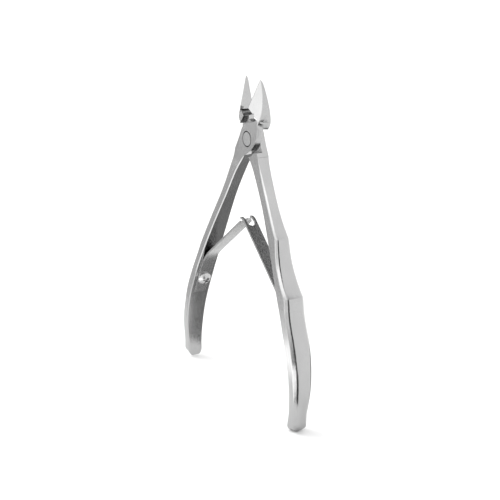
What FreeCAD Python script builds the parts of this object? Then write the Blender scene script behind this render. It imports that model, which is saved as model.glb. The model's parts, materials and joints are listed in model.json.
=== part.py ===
"""Cuticle nipper, lap joint pattern, drawn open at rest.

Millimetres. +Z runs from the handle ends up to the jaw tips, +Y from the front to the back.
The pivot axis lies along Y. The origin is at the foot of the nipper, midway between the handle ends.

Each half is drawn with the jaws closed, where its cutting edge lies in the plane x = 0 and the
pivot is at (0, 0, 0). It is then turned about the pivot to the open position and lifted.
Handle A is the smooth one (left, on the front half). Handle B has two finger scallops
(right, on the back half). In the closed drawing every handle is drawn on the +X side and a
left-hand piece is mirrored afterwards.
"""

import FreeCAD, Part
import math
import os

os.makedirs("parts", exist_ok=True)

Vector = FreeCAD.Vector
X_AXIS = Vector(1, 0, 0)
Y_AXIS = Vector(0, 1, 0)
Z_AXIS = Vector(0, 0, 1)
PIVOT = Vector(0, 0, 0)

# ---------------------------------------------------------------- driving dimensions
HALF_OPENING = 12.0          # degrees that each half turns from closed to open
LAP_THICKNESS = 2.24         # each half's plate in the joint
LAP_GAP = 0.02               # each plate stays this far from the middle plane
STEP_RADIUS = 6.35           # full thickness starts outside this radius
STEP_DEPTH = 4.9             # and below this depth under the pivot
SMOOTH_END = 100.9           # pivot to the smooth handle's end, in the closed drawing
SCALLOP_END = 101.8
END_ROUND = 2.9              # radius of the handle end, seen from the side
END_CURVE = 2.7              # radius of the handle end, seen from the front
END_X = 15.7                 # centre of that radius
SIDE_FACE_Y = 4.1            # side faces are ground flat to this, where the handle is widest

# Handle stations, in the closed drawing:
# depth below the pivot, inner face x, half width in y.
SPINE = [
    (6.5, 0.12, 2.24),
    (12.9, 3.2, 2.26),
    (18.4, 5.1, 2.3),
    (24.0, 6.8, 2.35),
    (29.5, 8.4, 2.6),
    (34.3, 9.75, 2.9),
    (38.2, 10.8, 3.15),
    (42.5, 11.95, 3.4),
    (46.5, 12.95, 3.62),
    (50.5, 13.9, 3.85),
    (54.3, 14.8, 4.0),
    (58.0, 15.65, 4.1),
    (62.0, 16.5, 4.18),
    (66.0, 17.18, 4.2),
    (70.3, 17.9, 4.2),
    (78.0, 18.6, 4.05),
    (85.7, 18.2, 3.75),
    (91.0, 17.1, 3.35),
    (96.0, 15.6, 3.0),
    (103.5, 12.9, 2.9),
]
# Thickness along x of each handle at the same depths.
SMOOTH_THICKNESS = [6.3, 4.6, 4.2, 4.0, 3.95, 4.0, 4.05, 4.05, 4.05, 4.05,
                    4.0, 4.0, 4.05, 4.2, 4.25, 4.1, 4.2, 4.2, 4.1, 4.0]
SCALLOP_THICKNESS = [6.3, 4.7, 4.5, 4.5, 4.85, 5.8, 4.95, 4.2, 4.15, 4.7,
                     5.95, 5.2, 4.55, 4.6, 4.7, 4.5, 4.2, 4.1, 4.1, 4.0]
# Width of the 45 degree facet between the side faces and the outer face.
FACET = [0.05, 0.5, 0.75, 0.8, 0.85, 0.95, 1.05, 1.1, 1.1, 1.15,
         1.3, 1.35, 1.4, 1.4, 1.4, 1.4, 1.3, 1.2, 1.1, 0.9]
CREST_STATIONS = [5, 10]     # stations where a scallop ends in a ridge
CROWN = 0.22                 # how far the outer face bulges
SIDE_CUT = 0.2               # rounding between the side face and the facet, along each
OUTER_CUT = 0.55             # rounding between the facet and the outer face
INNER_CUT = 0.45             # rounding of the inner face's corners
OUTER_SIDE = 3               # the section side that carries the crown

# Jaw, in the closed drawing. Heights are above the pivot.
TIP_HEIGHT = 21.87
TIP_Y = -0.76
HEEL_HEIGHT = 11.76
EDGE_SLOPE = 0.303           # the cutting edge comes forward this much per mm down
BEVEL_SLOPE = 0.625          # the front bevel falls back this much per mm outwards
SHOULDER_HEIGHT = 8.5
SHOULDER_BOTTOM = 5.45
SHOULDER_TUCK = 0.095        # the shoulder draws in below its widest height
RELIEF_TOP = (2.5, 10.45)    # relief under the blade: x and height
THROAT = (1.1, 8.1)
NECK = (3.5, 5.8)
CHAMFER_LOW = 6.0            # where the edge slope starts in x, at the pivot's height
CHAMFER_HIGH = 4.72          # the same at the shoulder
CHAMFER_SLOPE = 3.0
RIDGE_X = 4.75               # bevel ridge, at the shoulder
OUTER_X = 6.05               # back outer corner, at the shoulder
UNDERSIDE_SLOPE = 0.70       # lower edge of the front bevel, fall per mm outwards
BACK_SLOPE = 0.175           # the back face goes back this much per mm down
HOLLOW = 0.085               # the inner face recedes this much per mm down
HOLLOW_SAG = 0.3
JAW_BULGE = 0.05             # the outer face bulges this share of its distance out
TIP_SIZE = 0.12

# Rivet
RIVET_RADIUS = 1.6
RIVET_HEAD_RADIUS = 2.5
RIVET_HEAD_DEPTH = 1.0
RIVET_CLEARANCE = 0.03
RIVET_RING = 0.25             # gap around the head
RIVET_EDGE = 0.06            # both edges of that gap are broken by this much
RIVET_TAIL_RADIUS = 2.2
RIVET_TAIL_DEPTH = 0.6

# Springs. Tilts are degrees from vertical, leaning away from the handle.
STRIP = 0.7                  # strip thickness
STRIP_WIDTH = 5.0
SEAT_DEPTH = 61.2            # upper end of the spring's seat, below the pivot
SEAT_X = 16.53               # seat face at that depth
SEAT_TILT = 11.0
FOOT_LENGTH = 12.1
POCKET_GAP = 0.05            # between the foot and the walls of its pocket
BLADE_TILT = 37.7
BEND_RADIUS = 24.0
BLADE_LENGTH = 27.5          # straight blade, from the bend to the start of the curl
CURL_RADIUS = 3.5
FORK_CURL = 50.0             # degrees that the fork's prongs curl over
TONGUE_CURL = 30.0
TONGUE_WIDTH = 1.4
SHOULDER_SETBACK = 1.0       # the tongue's shoulders, before the curl
FORK_WIDTH = 3.0
FORK_SETBACK = 0.5           # root of the fork's notch, before the curl
KNUCKLE_GAP = 0.02
RUN_OUT_GAP = 0.03           # between the bend and the handle above the seat

# Spring screws
SCREW_PLACE = 5.0            # from the seat's upper end
SCREW_RADIUS = 1.0
SCREW_DEPTH = 2.6            # below the spring
SCREW_HEAD_RADIUS = 2.65
SCREW_HEAD_HEIGHT = 2.2
SCREW_RIM = 0.6              # height of the head's straight rim
RECESS_WIDTH = 0.55
RECESS_LENGTH = 2.9
RECESS_DEPTH = 0.9
RECESS_TURN = 25.0


# ---------------------------------------------------------------- small helpers
def line(a, b):
    return Part.LineSegment(a, b).toShape()


def arc(a, middle, b):
    return Part.Arc(a, middle, b).toShape()


def polygon(points):
    return Part.makePolygon(points + [points[0]])


def plate_xz(points, y_from, y_to):
    """A plate with straight edges: (x, z) points, thickness along y."""
    face = Part.Face(polygon([Vector(x, y_from, z) for x, z in points]))
    return face.extrude(Vector(0, y_to - y_from, 0))


def cylinder_y(radius, y_from, y_to, x=0.0, z=0.0):
    return Part.makeCylinder(radius, y_to - y_from, Vector(x, y_from, z), Y_AXIS)


def mirrored(shape):
    return shape.mirror(PIVOT, X_AXIS)


def as_solid(shape):
    """The one solid of a shape, with split faces joined again."""
    solids = shape.removeSplitter().Solids
    return max(solids, key=lambda solid: solid.Volume)


# ---------------------------------------------------------------- handle
def rounded(before, corner, after, cut):
    """Arc across a corner: its two ends lie cut away from the corner along the sides."""
    start = corner + (before - corner).normalize() * cut
    end = corner + (after - corner).normalize() * cut
    half_angle = (start - corner).getAngle(end - corner) / 2
    middle = corner + ((start + end) * 0.5 - corner) * (1 / (1 + math.sin(half_angle)))
    return start, middle, end


def handle_section(station, thickness):
    """Six-sided section with every corner rounded and a slightly crowned outer face."""
    depth, inner, half = SPINE[station]
    facet = FACET[station]
    outer = inner + thickness
    z = -depth
    side_cut = min(SIDE_CUT, 0.42 * facet)
    outer_cut = min(OUTER_CUT, 0.42 * facet)
    corners = [
        (Vector(inner, half, z), INNER_CUT),
        (Vector(inner, -half, z), INNER_CUT),
        (Vector(outer - facet, -half, z), side_cut),
        (Vector(outer, facet - half, z), outer_cut),
        (Vector(outer, half - facet, z), outer_cut),
        (Vector(outer - facet, half, z), side_cut),
    ]
    arcs = []
    for i, (corner, cut) in enumerate(corners):
        before = corners[i - 1][0]
        after = corners[(i + 1) % len(corners)][0]
        arcs.append(rounded(before, corner, after, cut))
    edges = []
    for i, (start, middle, end) in enumerate(arcs):
        following = arcs[(i + 1) % len(arcs)][0]
        edges.append(arc(start, middle, end))
        if i == OUTER_SIDE:
            edges.append(arc(end, Vector(outer + CROWN, 0, z), following))
        else:
            edges.append(line(end, following))
    return Part.Wire(edges)


def handle_stretch(first, last, thicknesses):
    wires = [handle_section(i, thicknesses[i]) for i in range(first, last + 1)]
    return Part.makeLoft(wires, True, False)


def above_depth(depth, half_width):
    """Space from a depth up to the pivot, wide enough for a handle."""
    return Part.makeBox(40, 2 * half_width, depth, Vector(-5, -half_width, -depth))


def handle_form(end_depth):
    """Space a handle may fill: between the ground side faces, with its end rounded both ways."""
    side_depth = end_depth - END_ROUND
    side = Part.makeCylinder(END_ROUND, 40, Vector(-5, 0, -side_depth), X_AXIS)
    side = side.fuse(above_depth(side_depth, SIDE_FACE_Y))
    front_depth = end_depth - END_CURVE
    front = cylinder_y(END_CURVE, -5, 5, END_X, -front_depth)
    return side.common(front.fuse(above_depth(front_depth, 5)))


def handle(thicknesses, crests, end_depth):
    """One handle, in lofts that meet at the scallop ridges."""
    stops = [0] + crests + [len(SPINE) - 1]
    body = handle_stretch(stops[0], stops[1], thicknesses)
    for first, last in zip(stops[1:], stops[2:]):
        body = body.fuse(handle_stretch(first, last, thicknesses))
    return as_solid(body.common(handle_form(end_depth)))


# ---------------------------------------------------------------- jaw
def jaw_section(height):
    """Section of the right jaw: cutting edge, bevel ridge, outer face, back face, hollow."""
    below_tip = TIP_HEIGHT - height
    below_shoulder = max(0.0, SHOULDER_HEIGHT - height)
    reach = max(0.0, (height - SHOULDER_HEIGHT) / (TIP_HEIGHT - SHOULDER_HEIGHT))
    tuck = SHOULDER_TUCK * below_shoulder ** 2
    edge_y = TIP_Y - (below_tip - below_shoulder) * EDGE_SLOPE
    ridge_x = TIP_SIZE + RIDGE_X * (1 - reach ** 1.7) - tuck
    outer_x = TIP_SIZE + OUTER_X * (1 - reach ** 1.8) - tuck
    back_y = TIP_Y + TIP_SIZE + 0.5 * min(below_tip, 1.2) + below_tip * BACK_SLOPE
    back_y = min(back_y, LAP_THICKNESS)
    inner_x = 0.3 * TIP_SIZE + HOLLOW * below_tip
    edge = Vector(0, edge_y, height)
    ridge = Vector(ridge_x, edge_y + BEVEL_SLOPE * ridge_x, height)
    outer = Vector(outer_x, back_y, height)
    inner = Vector(inner_x, back_y, height)
    bulge = (ridge + outer) * 0.5 + Vector(JAW_BULGE * ridge_x, 0, 0)
    sag = HOLLOW_SAG * min(1, (below_tip + 0.4) / 6)
    hollow = (edge + inner) * 0.5 + Vector(sag, 0, 0)
    edges = [
        line(edge, ridge),
        arc(ridge, bulge, outer),
        line(outer, inner),
        arc(inner, hollow, edge),
    ]
    return Part.Wire(edges)


def right_jaw():
    """Jaw with its shoulder, ground below the heel and relieved at the throat."""
    heights = [TIP_HEIGHT, 20.8, 19.2, 17.4, 15.4, 13.4, HEEL_HEIGHT, 10.2, SHOULDER_HEIGHT]
    heights += [7.0, SHOULDER_BOTTOM]
    blade = Part.makeLoft([jaw_section(h) for h in heights], True, False)
    far = 9.0
    left = -3.0
    under = [
        (left, HEEL_HEIGHT - UNDERSIDE_SLOPE * left),
        (far, HEEL_HEIGHT - UNDERSIDE_SLOPE * far),
        (far, 0.0),
        (left, 0.0),
    ]
    relief = [(left, RELIEF_TOP[1]), RELIEF_TOP, THROAT, (THROAT[0] - 0.1, 6.6), (left, 6.6)]
    ground = plate_xz(under, -8.0, -LAP_THICKNESS)
    return blade.cut([ground, plate_xz(relief, -8.0, 8.0)])


# ---------------------------------------------------------------- lap plates
PLATE_TOP = [
    Vector(-1.84, 0, 5.05),
    Vector(0.5, 0, 6.4),
    Vector(2.3, 0, 7.4),
    Vector(4.1, 0, 8.89),
]


def lap_outline():
    """Edge of the front half's plate, right jaw up and left handle down."""
    top_depth, top_inner, _ = SPINE[0]
    left_low = Vector(-top_inner - SMOOTH_THICKNESS[0], 0, -top_depth)
    left_mid = Vector(-5.35, 0, -2.8)
    left_top = Vector(-4.5, 0, 0.8)
    round_top = Vector(-3.75, 0, 3.1)
    jaw_root = Vector(4.5, 0, 7.6)
    jaw_side = Vector(5.3, 0, 6.2)
    right_top = Vector(5.9, 0, 4.8)
    right_mid = Vector(5.9, 0, 3.6)
    right_low = Vector(5.15, 0, 0.15)
    belly = Vector(3.3, 0, -3.0)
    crotch = Vector(0.0, 0, -6.2)
    inner_low = Vector(-top_inner, 0, -top_depth)
    edges = [
        line(left_low, left_mid),
        line(left_mid, left_top),
        arc(left_top, round_top, PLATE_TOP[0]),
        line(PLATE_TOP[0], PLATE_TOP[1]),
        arc(PLATE_TOP[1], PLATE_TOP[2], PLATE_TOP[3]),
        line(PLATE_TOP[3], jaw_root),
        line(jaw_root, jaw_side),
        line(jaw_side, right_top),
        line(right_top, right_mid),
        line(right_mid, right_low),
        arc(right_low, belly, crotch),
        line(crotch, inner_low),
        line(inner_low, left_low),
    ]
    return Part.Face(Part.Wire(edges))


def lap_plate():
    """Front half's plate, and behind it the handle's root at full thickness."""
    plate = lap_outline()
    plate.translate(Vector(0, -LAP_THICKNESS, 0))
    plate = plate.extrude(Vector(0, LAP_THICKNESS - LAP_GAP, 0))
    root = lap_outline()
    root.translate(Vector(0, -LAP_THICKNESS, 0))
    root = root.extrude(Vector(0, 2 * LAP_THICKNESS, 0))
    below = Part.makeBox(20, 20, 20, Vector(-20, -10, -STEP_DEPTH - 20))
    outside = cylinder_y(STEP_RADIUS, -LAP_GAP, 12)
    return plate.fuse(root.common(below).cut(outside))


def plate_side_room():
    """In the plate's layer, the jaw must leave the space above the plate's top edge."""
    above = [(p.x, p.z) for p in PLATE_TOP]
    above += [(0.0, HEEL_HEIGHT), (-3.0, HEEL_HEIGHT), (-3.0, above[0][1])]
    return plate_xz(above, -LAP_THICKNESS - 1, -LAP_GAP)


def lap_room():
    """Space behind the middle plane that the other half's plate needs."""
    disc = cylinder_y(STEP_RADIUS, -LAP_GAP, 12)
    bottom = SHOULDER_BOTTOM + 0.1
    neck = [(NECK[0], bottom), NECK, THROAT, (-3.0, THROAT[1]), (-3.0, 0.0), (9.0, 0.0), (9.0, bottom)]
    return disc.fuse(plate_xz(neck, -LAP_GAP, 12))


def edge_chamfer():
    """Slope on the joint's front outer edge, level with the jaw's outer face at the top."""
    wires = []
    for start, z in ((CHAMFER_LOW, 0.0), (CHAMFER_HIGH, SHOULDER_HEIGHT)):
        front = -LAP_THICKNESS - 0.1
        reach = 3.0
        wires.append(polygon([
            Vector(start, front, z),
            Vector(start + reach, front, z),
            Vector(start + reach, front + CHAMFER_SLOPE * reach, z),
        ]))
    return Part.makeLoft(wires, True, True)


def front_bore():
    """Running bore and counterbore for the rivet, with the counterbore's edge broken."""
    seat_radius = RIVET_HEAD_RADIUS + RIVET_RING
    seat_floor = RIVET_HEAD_DEPTH + RIVET_CLEARANCE - LAP_THICKNESS
    bore = cylinder_y(RIVET_RADIUS + RIVET_CLEARANCE, -LAP_THICKNESS, 0)
    counterbore = cylinder_y(seat_radius, -LAP_THICKNESS, seat_floor)
    edge = Part.makeCone(
        seat_radius + RIVET_EDGE, seat_radius, RIVET_EDGE, Vector(0, -LAP_THICKNESS, 0), Y_AXIS
    )
    return bore.fuse(counterbore).fuse(edge)


def rivet_tail():
    start = LAP_THICKNESS - RIVET_TAIL_DEPTH
    return Part.makeCone(
        RIVET_RADIUS, RIVET_TAIL_RADIUS, RIVET_TAIL_DEPTH, Vector(0, start, 0), Y_AXIS
    )


def pivot_rivet():
    head = cylinder_y(RIVET_HEAD_RADIUS, RIVET_EDGE - LAP_THICKNESS, RIVET_HEAD_DEPTH - LAP_THICKNESS)
    top = Part.makeCone(
        RIVET_HEAD_RADIUS - RIVET_EDGE, RIVET_HEAD_RADIUS, RIVET_EDGE,
        Vector(0, -LAP_THICKNESS, 0), Y_AXIS,
    )
    shank = cylinder_y(RIVET_RADIUS, RIVET_HEAD_DEPTH - LAP_THICKNESS, LAP_THICKNESS)
    return as_solid(shank.fuse([head, top, rivet_tail()]))


# ---------------------------------------------------------------- springs, drawn for handle B
def along(tilt):
    """Unit vector that leans from +Z towards -X."""
    angle = math.radians(tilt)
    return Vector(-math.sin(angle), 0, math.cos(angle))


def inward(tilt):
    """Unit vector square to along(tilt), away from the handle."""
    angle = math.radians(tilt)
    return Vector(-math.cos(angle), 0, -math.sin(angle))


def straight_strip(start, tilt, length):
    side = inward(tilt) * (STRIP / 2)
    run = along(tilt) * length
    face = Part.Face(polygon([start - side, start + side, start + side + run, start - side + run]))
    return face, start + run


def bend_centre(start, tilt, radius):
    return start + inward(tilt) * radius


def bent_strip(start, tilt, turn, radius):
    """A bend that leans further over by turn degrees."""
    centre = bend_centre(start, tilt, radius)
    rims = []
    for rim in (radius - STRIP / 2, radius + STRIP / 2):
        rims.append([centre - inward(tilt + turn * part) * rim for part in (0, 0.5, 1)])
    near, far = rims
    edges = [arc(*near), line(near[2], far[2]), arc(*reversed(far)), line(far[0], near[0])]
    return Part.Face(Part.Wire(edges)), centre - inward(tilt + turn) * radius


def widened(face, width=STRIP_WIDTH):
    face.translate(Vector(0, -width / 2, 0))
    return face.extrude(Vector(0, width, 0))


def seat_point(distance):
    """Point of the seat face, at a distance below the seat's upper end."""
    return Vector(SEAT_X, 0, -SEAT_DEPTH) - along(SEAT_TILT) * distance


def strip_point(distance):
    """Point of the strip's middle, above the same point of the seat."""
    return seat_point(distance) + inward(SEAT_TILT) * (STRIP / 2)


HALF_BEND = (BLADE_TILT - SEAT_TILT) / 2
FLEX_TILT = SEAT_TILT + HALF_BEND


def flex_point():
    """Middle of the bend: the axis that stands for the spring's bending."""
    return bent_strip(strip_point(0), SEAT_TILT, HALF_BEND, BEND_RADIUS)[1]


def square_to_seat(shape, distance):
    """Turn a shape drawn on +Z to stand on the seat, pointing away from the handle."""
    shape.Placement = FreeCAD.Placement(
        seat_point(distance), FreeCAD.Rotation(Z_AXIS, inward(SEAT_TILT))
    )
    return shape


def spring_foot():
    """Square-ended foot with the screw's hole, up to the flex axis."""
    flat, _ = straight_strip(strip_point(FOOT_LENGTH), SEAT_TILT, FOOT_LENGTH)
    bend, flex = bent_strip(strip_point(0), SEAT_TILT, HALF_BEND, BEND_RADIUS)
    foot = widened(flat).fuse(widened(bend))
    hole = square_to_seat(Part.makeCylinder(SCREW_RADIUS, 2 * STRIP), SCREW_PLACE)
    knuckle = cylinder_y(STRIP / 2 + KNUCKLE_GAP, -STRIP_WIDTH, STRIP_WIDTH, flex.x, flex.z)
    return as_solid(foot.cut([hole, knuckle]))


def spring_blade(curl_angle):
    """Blade from the flex axis to the curled tip, still full width at the tip."""
    flex = flex_point()
    bend, bend_end = bent_strip(flex, FLEX_TILT, HALF_BEND, BEND_RADIUS)
    flat, curl_start = straight_strip(bend_end, BLADE_TILT, BLADE_LENGTH)
    curl, _ = bent_strip(curl_start, BLADE_TILT, curl_angle, CURL_RADIUS)
    knuckle = cylinder_y(STRIP / 2, -STRIP_WIDTH / 2, STRIP_WIDTH / 2, flex.x, flex.z)
    blade = widened(flat).fuse([widened(bend), widened(curl), knuckle])
    return as_solid(blade), curl_start


def tip_block(curl_start, setback, width, y_from):
    """Block that takes in the blade's tip, from a setback before the curl."""
    block = Part.makeBox(8, width, 12, Vector(-4, y_from, 0))
    block.Placement = FreeCAD.Placement(
        curl_start - along(BLADE_TILT) * setback, FreeCAD.Rotation(Z_AXIS, along(BLADE_TILT))
    )
    return block


def forked_blade():
    blade, curl_start = spring_blade(FORK_CURL)
    notch = tip_block(curl_start, FORK_SETBACK, FORK_WIDTH, -FORK_WIDTH / 2)
    root = Part.makeCylinder(FORK_WIDTH / 2, 4, Vector(0, 0, -2))
    root.Placement = FreeCAD.Placement(
        curl_start - along(BLADE_TILT) * FORK_SETBACK,
        FreeCAD.Rotation(Z_AXIS, inward(BLADE_TILT)),
    )
    return as_solid(blade.cut([notch, root]))


def tongued_blade():
    blade, curl_start = spring_blade(TONGUE_CURL)
    side = STRIP_WIDTH / 2
    cuts = [
        tip_block(curl_start, SHOULDER_SETBACK, side, TONGUE_WIDTH / 2),
        tip_block(curl_start, SHOULDER_SETBACK, side, -TONGUE_WIDTH / 2 - side),
    ]
    return as_solid(blade.cut(cuts))


def spring_screw():
    """Pan head with a cross recess, and a plain shank the size of its thread."""
    cap_height = SCREW_HEAD_HEIGHT - SCREW_RIM
    ball_radius = (SCREW_HEAD_RADIUS ** 2 + cap_height ** 2) / (2 * cap_height)
    ball = Part.makeSphere(ball_radius, Vector(0, 0, STRIP + SCREW_HEAD_HEIGHT - ball_radius))
    head = Part.makeCylinder(SCREW_HEAD_RADIUS, SCREW_HEAD_HEIGHT, Vector(0, 0, STRIP))
    head = head.common(ball)
    floor = STRIP + SCREW_HEAD_HEIGHT - RECESS_DEPTH
    slots = []
    for turn in (RECESS_TURN, RECESS_TURN + 90):
        slot = Part.makeBox(
            RECESS_LENGTH, RECESS_WIDTH, 2, Vector(-RECESS_LENGTH / 2, -RECESS_WIDTH / 2, floor)
        )
        slot.rotate(PIVOT, Z_AXIS, turn)
        slots.append(slot)
    shank = Part.makeCylinder(SCREW_RADIUS, SCREW_DEPTH + STRIP, Vector(0, 0, -SCREW_DEPTH))
    screw = head.cut(slots).fuse(shank)
    return square_to_seat(as_solid(screw), SCREW_PLACE)


def seat_cut():
    """Pocket for the spring's foot, its run-out under the bend, and the screw's blind hole."""
    length = FOOT_LENGTH + POCKET_GAP
    half = STRIP_WIDTH / 2 + POCKET_GAP
    block = Part.makeBox(length, 2 * half, 3, Vector(0, -half, 0))
    block.Placement = FreeCAD.Placement(
        seat_point(length), FreeCAD.Rotation(along(SEAT_TILT), Y_AXIS, inward(SEAT_TILT), "XYZ")
    )
    hole = square_to_seat(
        Part.makeCylinder(SCREW_RADIUS, SCREW_DEPTH + 1, Vector(0, 0, -SCREW_DEPTH)), SCREW_PLACE
    )
    centre = bend_centre(strip_point(0), SEAT_TILT, BEND_RADIUS)
    run_out = cylinder_y(BEND_RADIUS + STRIP / 2 + RUN_OUT_GAP, -half, half, centre.x, centre.z)
    above = Part.makeBox(40, 14, 20, Vector(-20, -7, seat_point(0).z - STRIP / 2))
    return block.fuse([run_out.common(above), hole])


# ---------------------------------------------------------------- the two halves, closed
def half_turned(shape):
    """Turned about the jaws' axis, front to back."""
    turned = shape.copy()
    turned.rotate(PIVOT, Z_AXIS, 180)
    return turned


def front_half():
    jaw = right_jaw().cut([lap_room(), plate_side_room()])
    head = lap_plate().fuse(jaw).cut([front_bore(), edge_chamfer()])
    smooth = handle(SMOOTH_THICKNESS, [], SMOOTH_END).cut(seat_cut())
    return as_solid(head.fuse(mirrored(smooth)))


def back_half():
    """The same joint turned back to front, and the mirrored jaw."""
    jaw = mirrored(right_jaw()).cut(half_turned(lap_room()))
    bore = cylinder_y(RIVET_RADIUS, -5, 5).fuse(rivet_tail())
    head = half_turned(lap_plate()).fuse(jaw).cut([bore, mirrored(edge_chamfer())])
    scalloped = handle(SCALLOP_THICKNESS, CREST_STATIONS, SCALLOP_END).cut(seat_cut())
    return as_solid(head.fuse(scalloped))


# ---------------------------------------------------------------- assembly, open at rest
def placed(shape, turn):
    """Turn a closed-pose shape about the pivot and lift it onto the foot of the nipper."""
    opened = shape.copy()
    opened.rotate(PIVOT, Y_AXIS, turn)
    opened.translate(Vector(0, 0, PIVOT_HEIGHT))
    return opened


def open_bottom():
    """Lowest point of the opened handles, measured from the pivot."""
    opened = back_half()
    opened.rotate(PIVOT, Y_AXIS, -HALF_OPENING)
    return opened.optimalBoundingBox().ZMin


PIVOT_HEIGHT = round(-open_bottom(), 2)
LEFT = HALF_OPENING
RIGHT = -HALF_OPENING

NODES = {
    "front_half": placed(front_half(), LEFT),
    "back_half": placed(back_half(), RIGHT),
    "pivot_rivet": placed(pivot_rivet(), RIGHT),
    "left_spring_foot": placed(mirrored(spring_foot()), LEFT),
    "left_spring_blade": placed(mirrored(tongued_blade()), LEFT),
    "left_spring_screw": placed(mirrored(spring_screw()), LEFT),
    "right_spring_foot": placed(spring_foot(), RIGHT),
    "right_spring_blade": placed(forked_blade(), RIGHT),
    "right_spring_screw": placed(spring_screw(), RIGHT),
}

for name, shape in NODES.items():
    shape.exportStep("parts/" + name + ".step")
    box = shape.optimalBoundingBox()
    print(name, shape.isValid(), len(shape.Solids), round(shape.Volume, 2),
          [round(v, 2) for v in (box.XMin, box.XMax, box.YMin, box.YMax, box.ZMin, box.ZMax)])

flex = placed(Part.Vertex(flex_point()), RIGHT).Point
print("pivot height", PIVOT_HEIGHT, "right flex axis x, z", round(flex.x, 3), round(flex.z, 3))
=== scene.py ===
"""Cuticle nipper: materials, leaf springs, studio and camera. Metres, in the CAD's frame."""
import bmesh
import bpy
import json
import math
from mathutils import Matrix, Vector

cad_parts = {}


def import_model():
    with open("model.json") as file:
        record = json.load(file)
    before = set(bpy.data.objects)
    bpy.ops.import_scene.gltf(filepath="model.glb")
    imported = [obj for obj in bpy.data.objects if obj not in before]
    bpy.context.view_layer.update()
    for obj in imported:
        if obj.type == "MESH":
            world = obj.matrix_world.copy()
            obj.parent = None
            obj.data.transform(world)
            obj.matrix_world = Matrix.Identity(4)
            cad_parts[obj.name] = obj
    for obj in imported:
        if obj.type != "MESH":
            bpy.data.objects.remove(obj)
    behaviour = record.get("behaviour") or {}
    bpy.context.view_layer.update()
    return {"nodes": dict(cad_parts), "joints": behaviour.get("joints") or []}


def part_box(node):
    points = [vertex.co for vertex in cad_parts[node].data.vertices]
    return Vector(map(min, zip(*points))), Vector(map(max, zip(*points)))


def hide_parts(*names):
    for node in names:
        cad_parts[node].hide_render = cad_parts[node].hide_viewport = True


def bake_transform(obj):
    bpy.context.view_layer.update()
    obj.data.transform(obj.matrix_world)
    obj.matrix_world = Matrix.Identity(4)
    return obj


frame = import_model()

MM = 0.001
PIVOT = Vector(frame["joints"][0]["pos_m"])
HALF_OPENING = math.radians(12)

# Spring strips, in mm and degrees, in the closed drawing with the pivot at (0, 0).
STRIP = 0.7
STRIP_WIDTH = 5.0
SEAT_DEPTH = 61.2
SEAT_X = 16.53
SEAT_TILT = 11.0
FOOT_LENGTH = 12.1
BLADE_TILT = 37.7
BEND_RADIUS = 24.0
BLADE_LENGTH = 27.5
CURL_RADIUS = 3.5
FORK_CURL = 50.0
TONGUE_CURL = 30.0
TONGUE_WIDTH = 1.4
SHOULDER_SETBACK = 1.0
FORK_WIDTH = 3.0
FORK_SETBACK = 0.5

EDGE_BREAK = 0.12 * MM
# Painted shade: darkening where another face stands close, in narrow gaps.
CREVICE_REACH = 1.6 * MM
CREVICE_SHADE_TONE = 0.07

# Painted shade: a dark line in the gap round the rivet's head, in mm.
LAP_THICKNESS = 2.24
RING_RADIUS = 2.62
RING_WIDTH = 0.36
RING_SHADE_TONE = 0.06
RIVET_FACE = PIVOT - Vector((0, LAP_THICKNESS, 0)) * MM

# Camera
AZIMUTH = 57.14
ELEVATION = 18.29
ROLL = 2.51
DISTANCE = 0.4127
LENS = 82.7
LOOK_AT = Vector((0.0005, 0.0008, PIVOT.z - 0.0409))

# Reflection panels
WALL_DISTANCE = 0.8
BACKDROP_Y = 0.27
FLOOR_GAP = 0.5 * MM


# ---------------------------------------------------------------- node helpers
def new_material(name):
    material = bpy.data.materials.new(name)
    material.use_nodes = True
    tree = material.node_tree
    shader = tree.nodes["Principled BSDF"]
    shader.inputs["Metallic"].default_value = 1.0
    return material, tree, shader


def mapped(tree, scale, turn=(0, 0, 0)):
    """Object coordinates, turned and then scaled."""
    coords = tree.nodes.new("ShaderNodeTexCoord")
    turned = tree.nodes.new("ShaderNodeMapping")
    turned.inputs["Rotation"].default_value = turn
    scaled = tree.nodes.new("ShaderNodeMapping")
    scaled.inputs["Scale"].default_value = scale
    tree.links.new(coords.outputs["Object"], turned.inputs["Vector"])
    tree.links.new(turned.outputs["Vector"], scaled.inputs["Vector"])
    return scaled.outputs["Vector"]


def noise(tree, vector, scale, detail=3.0):
    node = tree.nodes.new("ShaderNodeTexNoise")
    node.inputs["Scale"].default_value = scale
    node.inputs["Detail"].default_value = detail
    tree.links.new(vector, node.inputs["Vector"])
    return node.outputs["Fac"]


def remap(tree, value, low, high, from_low=0.3, from_high=0.7):
    node = tree.nodes.new("ShaderNodeMapRange")
    node.inputs["From Min"].default_value = from_low
    node.inputs["From Max"].default_value = from_high
    node.inputs["To Min"].default_value = low
    node.inputs["To Max"].default_value = high
    tree.links.new(value, node.inputs["Value"])
    return node.outputs["Result"]


def mixed(tree, factor, first, second):
    """Colour mix; first and second are grey levels or sockets."""
    node = tree.nodes.new("ShaderNodeMix")
    node.data_type = "RGBA"
    tree.links.new(factor, node.inputs["Factor"])
    for socket, value in (("A", first), ("B", second)):
        colour_socket = [s for s in node.inputs if s.name == socket and s.type == "RGBA"][0]
        if isinstance(value, float):
            colour_socket.default_value = (value, value, value, 1)
        else:
            tree.links.new(value, colour_socket)
    return [s for s in node.outputs if s.type == "RGBA"][0]


def bump(tree, shader, height, distance, strength=1.0):
    """Relief from a height socket, on edges that are broken by a hair."""
    edges = tree.nodes.new("ShaderNodeBevel")
    edges.inputs["Radius"].default_value = EDGE_BREAK
    node = tree.nodes.new("ShaderNodeBump")
    tree.links.new(edges.outputs["Normal"], node.inputs["Normal"])
    node.inputs["Distance"].default_value = distance
    node.inputs["Strength"].default_value = strength
    tree.links.new(height, node.inputs["Height"])
    tree.links.new(node.outputs["Normal"], shader.inputs["Normal"])


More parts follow.
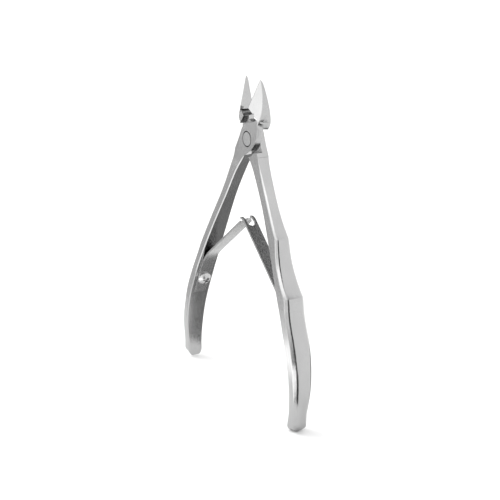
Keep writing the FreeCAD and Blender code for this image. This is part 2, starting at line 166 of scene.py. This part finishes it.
def distance_from(tree, centre):
    """Distance of the shaded point from a centre, in the object's coordinates."""
    coords = tree.nodes.new("ShaderNodeTexCoord")
    away = tree.nodes.new("ShaderNodeVectorMath")
    away.operation = "DISTANCE"
    away.inputs[1].default_value = centre
    tree.links.new(coords.outputs["Object"], away.inputs[0])
    return away.outputs["Value"]


def rivet_gap_shade(tree, tone):
    """Painted shade: darkens a tone in the narrow gap round the rivet's head, where shade falls."""
    shaded_ring = tree.nodes.new("ShaderNodeMath")
    shaded_ring.operation = "COMPARE"
    shaded_ring.inputs[1].default_value = RING_RADIUS * MM
    shaded_ring.inputs[2].default_value = RING_WIDTH / 2 * MM
    tree.links.new(distance_from(tree, RIVET_FACE), shaded_ring.inputs[0])
    return mixed(tree, shaded_ring.outputs["Value"], tone, RING_SHADE_TONE)


def crevice_shade(tree, tone):
    """Painted shade: darkens a tone where another face stands close, as shade falls in narrow gaps.
    """
    shut = tree.nodes.new("ShaderNodeAmbientOcclusion")
    shut.samples = 8
    shut.inputs["Distance"].default_value = CREVICE_REACH
    openness = remap(tree, shut.outputs["AO"], 0.0, 1.0, 0.3, 0.75)
    return mixed(tree, openness, CREVICE_SHADE_TONE, tone)


# ---------------------------------------------------------------- materials
def satin_steel(name, lean):
    """Ground and satin-finished steel: long fine grain, streaks, soft patches, painted shade in
    narrow gaps and in the rivet's gap.
    """
    material, tree, shader = new_material(name)
    turn = (0, lean, 0)
    grain = noise(tree, mapped(tree, (1, 1, 0.04), turn), 9000, 2.0)
    streaks = noise(tree, mapped(tree, (1, 1, 0.08), turn), 1400, 3.0)
    patches = noise(tree, mapped(tree, (1, 1, 0.5), turn), 110, 2.0)
    tone = mixed(tree, remap(tree, patches, 0.0, 1.0), 0.41, 0.46)
    # painted shade in narrow gaps and in the gap round the rivet's head
    tree.links.new(crevice_shade(tree, rivet_gap_shade(tree, tone)), shader.inputs["Base Color"])
    tree.links.new(remap(tree, streaks, 0.14, 0.24), shader.inputs["Roughness"])
    bump(tree, shader, grain, 0.00002, 0.5)
    return material


def spring_steel(name, lean):
    """Rolled strip with fine lines along it."""
    material, tree, shader = new_material(name)
    turn = (0, lean, 0)
    lines = noise(tree, mapped(tree, (1, 1, 0.03), turn), 6000, 2.0)
    patches = noise(tree, mapped(tree, (1, 1, 0.4), turn), 160, 2.0)
    tone = mixed(tree, remap(tree, patches, 0.0, 1.0), 0.38, 0.46)
    tree.links.new(tone, shader.inputs["Base Color"])
    tree.links.new(remap(tree, lines, 0.2, 0.34), shader.inputs["Roughness"])
    bump(tree, shader, lines, 0.00002, 0.12)
    return material


def turned_steel(name, centre, roughness):
    """Steel faced on a lathe: fine rings about a point."""
    material, tree, shader = new_material(name)
    rings = tree.nodes.new("ShaderNodeTexNoise")
    rings.noise_dimensions = "1D"
    rings.inputs["Scale"].default_value = 9000
    tree.links.new(distance_from(tree, centre), rings.inputs["W"])
    patches = noise(tree, mapped(tree, (1, 1, 1)), 500, 2.0)
    tone = mixed(tree, remap(tree, patches, 0.0, 1.0), 0.44, 0.50)
    # painted shade in the gap round the rivet's head
    tree.links.new(rivet_gap_shade(tree, tone), shader.inputs["Base Color"])
    ring_value = rings.outputs["Fac"]
    tree.links.new(remap(tree, ring_value, roughness, roughness + 0.1), shader.inputs["Roughness"])
    bump(tree, shader, ring_value, 0.00001, 0.5)
    return material


def dress(node, material):
    mesh = frame["nodes"][node].data
    mesh.materials.clear()
    mesh.materials.append(material)


# ---------------------------------------------------------------- leaf springs
def along(tilt):
    return Vector((-math.sin(tilt), 0, math.cos(tilt)))


def inward(tilt):
    return Vector((-math.cos(tilt), 0, -math.sin(tilt)))


def strip_rows(curl_angle):
    """Rows along the strip's middle: distance, point, in the closed drawing."""
    seat = math.radians(SEAT_TILT)
    lean = math.radians(BLADE_TILT)
    curl = math.radians(curl_angle)
    top = Vector((SEAT_X, 0, -SEAT_DEPTH)) + inward(seat) * STRIP / 2
    point = top - along(seat) * FOOT_LENGTH
    # tilt at the start, turn, length and number of rows of each run
    runs = [
        (seat, 0.0, FOOT_LENGTH, 26),
        (seat, lean - seat, BEND_RADIUS * (lean - seat), 16),
        (lean, 0.0, BLADE_LENGTH - FORK_SETBACK - FORK_WIDTH, 16),
        (lean, 0.0, FORK_SETBACK + FORK_WIDTH, 25),
        (lean, curl, CURL_RADIUS * curl, 10),
    ]
    rows = [(0.0, point)]
    distance = 0.0
    for tilt, turn, length, steps in runs:
        start = point
        for step in range(1, steps + 1):
            part = step / steps
            if turn:
                centre = start + inward(tilt) * (length / turn)
                point = centre - inward(tilt + turn * part) * (length / turn)
            else:
                point = start + along(tilt) * (length * part)
            rows.append((distance + length * part, point))
        distance += length
    return rows


CURL_START = FOOT_LENGTH + BEND_RADIUS * math.radians(BLADE_TILT - SEAT_TILT) + BLADE_LENGTH


def outer_edge(distance):
    return STRIP_WIDTH / 2


def tongue_edge(distance):
    shoulder = CURL_START - SHOULDER_SETBACK
    if distance > shoulder + 0.01:
        return TONGUE_WIDTH / 2
    return outer_edge(distance)


def notch_edge(distance):
    """Half width of the fork's notch, which starts in a half circle."""
    root = CURL_START - FORK_SETBACK
    radius = FORK_WIDTH / 2
    if distance >= root:
        return radius
    if distance <= root - radius:
        return 0.0
    return math.sqrt(radius ** 2 - (root - distance) ** 2)


def no_notch(distance):
    return 0.0


def leaf_spring(name, side, curl_angle, edge, notch):
    """One continuous strip; side is 1 on the right and -1 on the left."""
    build = bmesh.new()
    columns = 4
    turn = Matrix.Rotation(-HALF_OPENING, 3, "Y")
    for half in (-1, 1):
        previous = None
        for distance, point in strip_rows(curl_angle):
            inner = notch(distance)
            outer = edge(distance)
            placed = (turn @ point) * MM
            row = []
            for column in range(columns + 1):
                y = half * (inner + (outer - inner) * column / columns)
                row.append(build.verts.new((side * placed.x, y * MM, placed.z + PIVOT.z)))
            if previous:
                for column in range(columns):
                    build.faces.new((
                        previous[column], previous[column + 1], row[column + 1], row[column]
                    ))
            previous = row
    bmesh.ops.remove_doubles(build, verts=build.verts, dist=1e-6)
    bmesh.ops.recalc_face_normals(build, faces=build.faces)
    mesh = bpy.data.meshes.new(name)
    build.to_mesh(mesh)
    build.free()
    piece = bpy.data.objects.new(name, mesh)
    bpy.context.scene.collection.objects.link(piece)
    solid = piece.modifiers.new("thickness", "SOLIDIFY")
    solid.thickness = STRIP * MM
    solid.offset = 0
    edges = piece.modifiers.new("edges", "BEVEL")
    edges.width = 0.08 * MM
    edges.segments = 2
    edges.limit_method = "ANGLE"
    edges.harden_normals = True
    for face in mesh.polygons:
        face.use_smooth = True
    return piece


def add_springs():
    shapes = (
        ("left", -1, TONGUE_CURL, tongue_edge, no_notch, "front"),
        ("right", 1, FORK_CURL, outer_edge, notch_edge, "back"),
    )
    for word, side, curl_angle, edge, notch, foot_body in shapes:
        name = word + "_leaf_spring"
        piece = leaf_spring(name, side, curl_angle, edge, notch)
        piece.data.materials.append(spring_steel(name + "_steel", side * math.radians(40)))
        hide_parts(word + "_spring_foot", word + "_spring_blade")
        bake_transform(piece)


# ---------------------------------------------------------------- studio
def floor():
    mesh = bpy.data.meshes.new("floor")
    half = 6.0
    mesh.from_pydata(
        [(-half, -half, 0), (half, -half, 0), (half, half, 0), (-half, half, 0)], [], [(0, 1, 2, 3)]
    )
    piece = bpy.data.objects.new("floor", mesh)
    bpy.context.scene.collection.objects.link(piece)
    material = bpy.data.materials.new("pale_floor")
    material.use_nodes = True
    shader = material.node_tree.nodes["Principled BSDF"]
    shader.inputs["Base Color"].default_value = (0.9, 0.9, 0.9, 1)
    shader.inputs["Roughness"].default_value = 0.9
    shader.inputs["Specular IOR Level"].default_value = 0.1
    mesh.materials.append(material)


def card(name, corners, glow):
    """A flat panel seen only in reflections; glow is its brightness."""
    mesh = bpy.data.meshes.new(name)
    mesh.from_pydata(corners, [], [(0, 1, 2, 3)])
    piece = bpy.data.objects.new(name, mesh)
    bpy.context.scene.collection.objects.link(piece)
    piece.visible_camera = False
    piece.visible_diffuse = False
    piece.visible_shadow = False
    material = bpy.data.materials.new(name)
    material.use_nodes = True
    tree = material.node_tree
    shader = tree.nodes["Principled BSDF"]
    shader.inputs["Base Color"].default_value = (0, 0, 0, 1)
    shader.inputs["Specular IOR Level"].default_value = 0
    shader.inputs["Emission Color"].default_value = (1, 1, 1, 1)
    shader.inputs["Emission Strength"].default_value = glow
    mesh.materials.append(material)


def bearing(degrees, distance, height, start=(0, 0)):
    """Point at a distance from a start on the floor; bearings turn from +X towards +Y."""
    angle = math.radians(degrees)
    return (start[0] + distance * math.cos(angle), start[1] + distance * math.sin(angle), height)


def upright_card(name, start, low_bearing, high_bearing, distance, heights, glow):
    """A wall panel between two bearings, seen from a start on the floor."""
    low, high = heights
    corners = [
        bearing(low_bearing, distance, low, start),
        bearing(high_bearing, distance, low, start),
        bearing(high_bearing, distance, high, start),
        bearing(low_bearing, distance, high, start),
    ]
    card(name, corners, glow)


def floor_card(name, start, low_bearing, high_bearing, near, far, glow):
    """A panel just above the floor between two bearings, from near to far."""
    corners = [
        bearing(low_bearing, near, FLOOR_GAP, start),
        bearing(low_bearing, far, FLOOR_GAP, start),
        bearing(high_bearing, far, FLOOR_GAP, start),
        bearing(high_bearing, near, FLOOR_GAP, start),
    ]
    card(name, corners, glow)


def level_patch(name, x_range, y_range, z, glow):
    """A level rectangular panel."""
    corners = [(x, y_range[0], z) for x in x_range]
    corners += [(x, y_range[1], z) for x in reversed(x_range)]
    card(name, corners, glow)


def world():
    """A light tent, open to a dark ceiling."""
    sky = bpy.data.worlds.new("studio")
    sky.use_nodes = True
    tree = sky.node_tree
    coords = tree.nodes.new("ShaderNodeTexCoord")
    height = tree.nodes.new("ShaderNodeSeparateXYZ")
    tree.links.new(coords.outputs["Generated"], height.inputs["Vector"])
    glow = remap(tree, height.outputs["Z"], 1.3, 0.5, 0.80, 0.95)
    tree.links.new(glow, tree.nodes["Background"].inputs["Strength"])
    tree.nodes["Background"].inputs["Color"].default_value = (1, 1, 1, 1)
    bpy.context.scene.world = sky


def sun(name, toward, strength, angle):
    light = bpy.data.lights.new(name, "SUN")
    light.energy = strength
    light.angle = math.radians(angle)
    holder = bpy.data.objects.new(name, light)
    bpy.context.scene.collection.objects.link(holder)
    holder.rotation_euler = Vector(toward).to_track_quat("Z", "Y").to_euler()
    holder.visible_glossy = False


def studio():
    """Tent, key light, and the panels that draw the light and dark lines along the steel."""
    world()
    sun("key", (-0.6, -0.5, 0.62), 1.8, 50)
    handle = (0.036, -0.004)
    joint = (0.0, -0.004)
    middle = (0.0, 0.0)
    # seen in the jaw's bevel and the right handle's facet
    upright_card("bevel_light", middle, -94, -64, WALL_DISTANCE, (0.0, 0.3), 2.1)
    floor_card("facet_light", handle, -90, -48, 0.02, 0.26, 2.6)
    upright_card("facet_light_high", handle, -72, -50, WALL_DISTANCE, (0.3, 0.75), 2.4)
    # seen in the corner between the facet and the outer face
    floor_card("edge_shade", handle, -46, 6, 0.02, 0.19, 0.08)
    upright_card("edge_shade_high", handle, -56, -14, 0.035, (0.02, 0.086), 0.08)
    # seen in the left handle's inner face, its inner front edge, and the front faces
    level_patch("inner_shade", (-0.036, 0.03), (0.012, 0.09), FLOOR_GAP, 0.3)
    level_patch("inner_edge_light", (-0.03, 0.03), (-0.15, -0.03), FLOOR_GAP, 2.4)
    floor_card("front_shade", joint, 198, 226, 0.06, 0.5, 0.75)
    # seen in the right spring and its curled prongs
    level_patch("spring_shade", (-0.04, 0.2), (BACKDROP_Y - 0.12, BACKDROP_Y + 0.12), 0.5, 0.1)
    prong_shade = [
        (-0.45, BACKDROP_Y, 0.12),
        (-0.02, BACKDROP_Y, 0.3),
        (-0.02, BACKDROP_Y, 0.6),
        (-0.45, BACKDROP_Y, 0.5),
    ]
    card("prong_shade", prong_shade, 0.15)
    # seen from behind, in the left handle's outer face
    upright_card("left_wall", middle, 150, 250, WALL_DISTANCE, (0.02, 0.75), 0.6)


def view_axis():
    """From the object to the camera."""
    a = math.radians(AZIMUTH)
    e = math.radians(ELEVATION)
    return Vector((math.sin(a) * math.cos(e), -math.cos(a) * math.cos(e), math.sin(e)))


def camera():
    r = math.radians(ROLL)
    back = view_axis()
    level = Vector((0, 0, 1)).cross(back).normalized()
    rise = back.cross(level)
    right = level * math.cos(r) + rise * math.sin(r)
    up = rise * math.cos(r) - level * math.sin(r)
    lens = bpy.data.cameras.new("camera")
    lens.lens = LENS
    lens.sensor_width = 36
    lens.clip_start = 0.01
    holder = bpy.data.objects.new("camera", lens)
    bpy.context.scene.collection.objects.link(holder)
    turn = Matrix((right, up, back)).transposed().to_4x4()
    holder.matrix_world = Matrix.Translation(LOOK_AT + back * DISTANCE) @ turn
    bpy.context.scene.camera = holder


dress("front_half", satin_steel("left_steel", math.radians(-24)))
dress("back_half", satin_steel("right_steel", math.radians(24)))
dress("pivot_rivet", turned_steel("rivet_steel", RIVET_FACE, 0.22))
for word in ("left", "right"):
    low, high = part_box(word + "_spring_screw")
    dress(word + "_spring_screw", turned_steel(word + "_screw_steel", (low + high) / 2, 0.18))
add_springs()
floor()
studio()
camera()
bpy.context.scene.view_settings.view_transform = "Standard"
